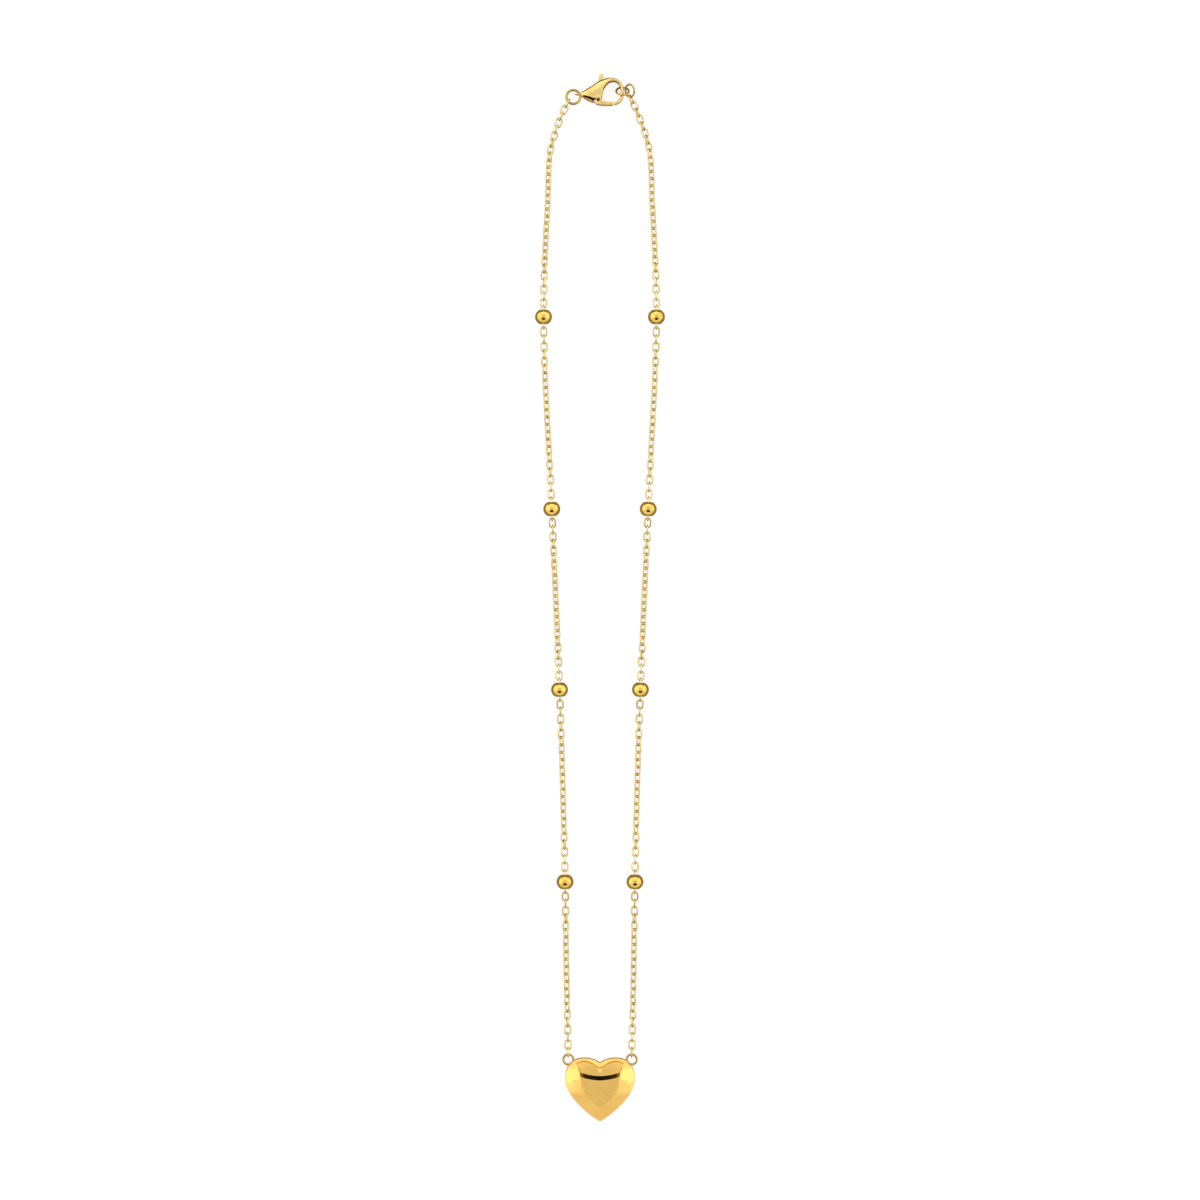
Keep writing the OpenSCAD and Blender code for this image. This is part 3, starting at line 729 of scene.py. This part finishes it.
def through(values, t):
    """A smooth line through the stations at t, from 0 to the last."""
    i = min(int(t), len(values) - 2)
    f = t - i
    p = [np.array(values[min(max(i + k, 0), len(values) - 1)], float) for k in (-1, 0, 1, 2)]
    return 0.5 * (2 * p[1] + (p[2] - p[0]) * f + (2 * p[0] - 5 * p[1] + 4 * p[2] - p[3]) * f ** 2
                  + (3 * p[1] - p[0] - 3 * p[2] + p[3]) * f ** 3)


flat = [(a[0], a[1], b[0], b[1], h) for a, b, h in stations]
clasp_steps, clasp_sides, fullness = 86, 28, 0.84
bm = bmesh.new()
loops = []
for k in range(clasp_steps):
    t = (len(flat) - 1) * k / (clasp_steps - 1)
    ox, oy, ix, iy, h = through(flat, t)
    outer, inner = clasp_at(ox, oy), clasp_at(ix, iy)
    mid, reach = (outer + inner) / 2, (outer - inner) / 2
    loop = []
    for j in range(clasp_sides):
        b = math.tau * j / clasp_sides
        c, s = math.cos(b), math.sin(b)
        c2 = math.copysign(abs(c) ** fullness, c)
        s2 = math.copysign(abs(s) ** fullness, s)
        q = mid + reach * c2
        loop.append(bm.verts.new((q[0], q[1], clasp_z + s2 * h / 1000)))
    loops.append(loop)
for a, b in zip(loops, loops[1:]):
    for j in range(clasp_sides):
        i = (j + 1) % clasp_sides
        bm.faces.new((a[j], a[i], b[i], b[j]))
bm.faces.new(loops[0][::-1])
bm.faces.new(loops[-1])
bmesh.ops.recalc_face_normals(bm, faces=bm.faces)
casting = bpy.data.meshes.new("casting")
bm.to_mesh(casting)
bm.free()


def prism(name, corners, low, high):
    """A straight-sided cutter on that outline."""
    n = len(corners)
    pts = [(*clasp_at(*c), low) for c in corners] + [(*clasp_at(*c), high) for c in corners]
    sides = [(j, (j + 1) % n, n + (j + 1) % n, n + j) for j in range(n)]
    mesh = bpy.data.meshes.new(name)
    mesh.from_pydata(pts, [], sides + [tuple(range(n - 1, -1, -1)), tuple(range(n, 2 * n))])
    bm2 = bmesh.new()
    bm2.from_mesh(mesh)
    bmesh.ops.recalc_face_normals(bm2, faces=bm2.faces)
    bm2.to_mesh(mesh)
    bm2.free()
    tool = bpy.data.objects.new(name, mesh)
    scene.collection.objects.link(tool)
    return tool


slot_half = 0.00065
web_half = 0.0001
beyond = 0.002
groove = [(-3.66, 107.34), (-2.2, 106.72), (-0.86, 106.12), (-0.60, 106.62), (-2.1, 107.26),
          (-3.56, 107.68)]
cutters = [
    prism("lever_slot", [(-0.75, 104.8), (0.5, 104.8), (0.5, 107.2), (1.35, 112.9), (-2.6, 112.9),
                         (-1.45, 107.2)], clasp_z - slot_half, clasp_z + slot_half),
    prism("hub_slot", round_hole(1.05), clasp_z - slot_half + 1e-6, clasp_z + slot_half - 1e-6),
    prism("jaw_groove", groove, clasp_z + web_half, clasp_z + beyond),
    prism("back_groove", groove, clasp_z - beyond, clasp_z - web_half),
    prism("rivet_hole", round_hole(0.352), clasp_z - 0.003, clasp_z + 0.003),
]
blank = bpy.data.objects.new("clasp_blank", casting)
scene.collection.objects.link(blank)
for tool in cutters:
    cut = blank.modifiers.new(tool.name, "BOOLEAN")
    cut.operation = "DIFFERENCE"
    cut.solver = "EXACT"
    cut.object = tool
bpy.context.view_layer.update()
finished = blank.evaluated_get(bpy.context.evaluated_depsgraph_get())
cut_mesh = bpy.data.meshes.new_from_object(finished)
bm = bmesh.new()
bm.from_mesh(cut_mesh)
bmesh.ops.remove_doubles(bm, verts=bm.verts, dist=2e-6)
bmesh.ops.dissolve_degenerate(bm, edges=bm.edges, dist=1e-6)
bm.to_mesh(cut_mesh)
bm.free()
for tool in cutters + [blank]:
    bpy.data.objects.remove(tool)

points = [tuple(v.co) for v in cut_mesh.vertices]
faces = [tuple(p.vertices) for p in cut_mesh.polygons]
eye_r, eye_wire = 0.00069, 0.00028
eye_points, eye_faces, _ = wire_torus((*clasp_at(-4.55, 107.9), clasp_z), (0, 1, 0), eye_r, eye_wire,
                                      48, 14, swell=(0.0, 0.6, 0.3, 0))
faces += [tuple(i + len(points) for i in f) for f in eye_faces]
points += eye_points
# The top of the hook's arch is paler: partly wear, partly a painted highlight along the top.
worn = [0.35 if abs(p[1] - pivot.y) > 0.0031 else 0.0 for p in points]
clasp_casting = place_piece("clasp_casting", points, faces, finding_metal, "clasp_body", 32, worn)
# The floor of each jaw groove is painted near-black: painted shade standing in for the deep shadow inside
# the groove.
groove_shade_paint = plated("groove_paste", (0.05, 0.022, 0.006), (0.09, 0.045, 0.012), (0.2, 0.11, 0.03),
               3000, 30000, 20000, 0.6, 0.9, 0.6)
clasp_casting.data.materials.append(groove_shade_paint)
# Faces that lie on a groove floor take the painted shade.
for face in clasp_casting.data.polygons:
    if all(abs(abs(points[v][2] - clasp_z) - web_half) < 2e-6 for v in face.vertices):
        face.material_index = 1

# The lever is stamped from thick sheet: a hub on the rivet, a bar that shuts the hook and a
# thumb tab. Its edges are tumbled round.
lever_low, lever_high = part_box("clasp_trigger")
lever_outline = [(-0.96, 106.6), (-0.99, 106.15), (-0.94, 105.92), (-0.75, 105.76),
                 (-0.4, 105.62), (0.3, 105.52), (1.6, 105.46), (2.70, 105.50), (2.80, 105.60),
                 (2.95, 106.14), (2.86, 106.25), (1.7, 106.28),
                 (0.75, 106.42), (0.42, 106.7), (0.44, 107.2), (0.40, 107.7), (0.10, 108.15),
                 (0.42, 109.7), (0.78, 111.7), (0.80, 111.98), (0.66, 112.22), (0.36, 112.295),
                 (0.05, 112.23), (-0.16, 112.0), (-0.24, 111.7), (-0.42, 109.7), (-0.62, 108.15),
                 (-1.05, 107.9), (-1.22, 107.4), (-1.05, 106.9)]
bm = bmesh.new()
low_z, high_z = lever_low.z, lever_high.z
base = [bm.verts.new((*clasp_at(*c), low_z)) for c in lever_outline]
floor_face = bm.faces.new(base)
raised = bmesh.ops.extrude_face_region(bm, geom=[floor_face])
for v in raised["geom"]:
    if isinstance(v, bmesh.types.BMVert):
        v.co.z = high_z
bmesh.ops.recalc_face_normals(bm, faces=bm.faces)
flat_edges = [e for e in bm.edges if abs(e.verts[0].co.z - e.verts[1].co.z) < 1e-7]
bmesh.ops.bevel(bm, geom=flat_edges, offset=0.00013, segments=3, affect="EDGES", profile=0.5)
bmesh.ops.recalc_face_normals(bm, faces=bm.faces)
points = [tuple(v.co) for v in bm.verts]
bm.verts.index_update()
faces = [tuple(v.index for v in f.verts) for f in bm.faces]
bm.free()
tab_y = clasp_at(0, 111.6)[1]
place_piece("clasp_lever", points, faces, finding_metal, "clasp_trigger", 35,
            [0.6 if p[1] > tab_y else 0.0 for p in points])

# The rivet is a gold-plated pin, peened over into a shallow dome at both faces.
dome = 0.00004
rivet_r = (rivet_high.x - rivet_low.x) / 2
profile = [(0.02, 0.0), (0.35, 0.1), (0.7, 0.45), (0.92, 0.85), (1.0, 1.6)]
ring_z = [(r * rivet_r, rivet_low.z + h * dome) for r, h in profile]
ring_z += [(r * rivet_r, rivet_high.z - h * dome) for r, h in reversed(profile)]
rivet_sides = 32
points = [(pivot.x + r * math.cos(a), pivot.y + r * math.sin(a), z)
          for r, z in ring_z for a in [math.tau * k / rivet_sides for k in range(rivet_sides)]]


def tube_faces(steps, sides):
    """Faces of an open tube from its rows of points, with a cap at each end."""
    faces = []
    for k in range(steps - 1):
        for j in range(sides):
            i = (j + 1) % sides
            faces.append((k * sides + j, k * sides + i, (k + 1) * sides + i, (k + 1) * sides + j))
    faces.append(tuple(range(sides - 1, -1, -1)))
    faces.append(tuple((steps - 1) * sides + j for j in range(sides)))
    return faces


faces = tube_faces(len(ring_z), rivet_sides)
place_piece("clasp_rivet_pin", points, faces, finding_metal, "clasp_rivet", 40,
            [0.5] * len(points))

# Inside the slot a torsion spring of bright drawn steel wire is wound round the rivet. One
# leg lies along the end of the slot.
steel = plated("drawn_steel", (0.42, 0.42, 0.43), (0.60, 0.60, 0.61), (0.7, 0.7, 0.7),
               1500, 9000, 6000, 0.2, 0.42, 0.2)
spring_low, spring_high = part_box("clasp_spring")
spring_wire = 0.00018
coil_r = rivet_r + spring_wire
start_z = spring_low.z + spring_wire / 2
rise = (spring_high.z - spring_low.z) - spring_wire
turns, coil_steps, leg_steps, leg_len = 1.25, 60, 8, 0.0009
line = [(pivot.x - coil_r, spring_low.y + leg_len * k / leg_steps, start_z) for k in range(leg_steps)]
for k in range(coil_steps + 1):
    a = math.pi + math.tau * turns * k / coil_steps
    line.append((pivot.x + coil_r * math.cos(a), pivot.y + coil_r * math.sin(a),
                 start_z + rise * k / coil_steps))
points = []
spring_sides = 10
for k, p in enumerate(line):
    before, after = np.array(line[max(k - 1, 0)]), np.array(line[min(k + 1, len(line) - 1)])
    t = after - before
    t /= np.linalg.norm(t)
    u = np.cross(t, [0, 0, 1.0])
    u /= np.linalg.norm(u)
    v = np.cross(u, t)
    for j in range(spring_sides):
        b = math.tau * j / spring_sides
        points.append(np.array(p) + spring_wire / 2 * (math.cos(b) * u + math.sin(b) * v))
place_piece("clasp_torsion_spring", points, tube_faces(len(line), spring_sides), steel,
            "clasp_spring", 50)


# Three jump rings join the chain to the clasp: one on the clasp's eye, and two linked ones
# that the hook catches. Each is closed with a thin seam of solder.
for node, seam_at in (("clasp_jump_ring", 2.4), ("catch_ring", 1.2), ("end_jump_ring", 4.0)):
    solid = np.array([v.co[:] for v in frame["nodes"][node].data.vertices])
    middle, rows, size = axes_of(solid)
    wire = size[2]
    points, faces, worn = wire_torus(middle, rows[2], (size[0] + size[1]) / 4 - wire / 2, wire,
                                     84, 20, swell=(seam_at, 0.09, 0.05, 0.9), start=rows[0])
    place_piece(node + "_wire", points, faces, ring_metal, node, None, worn)
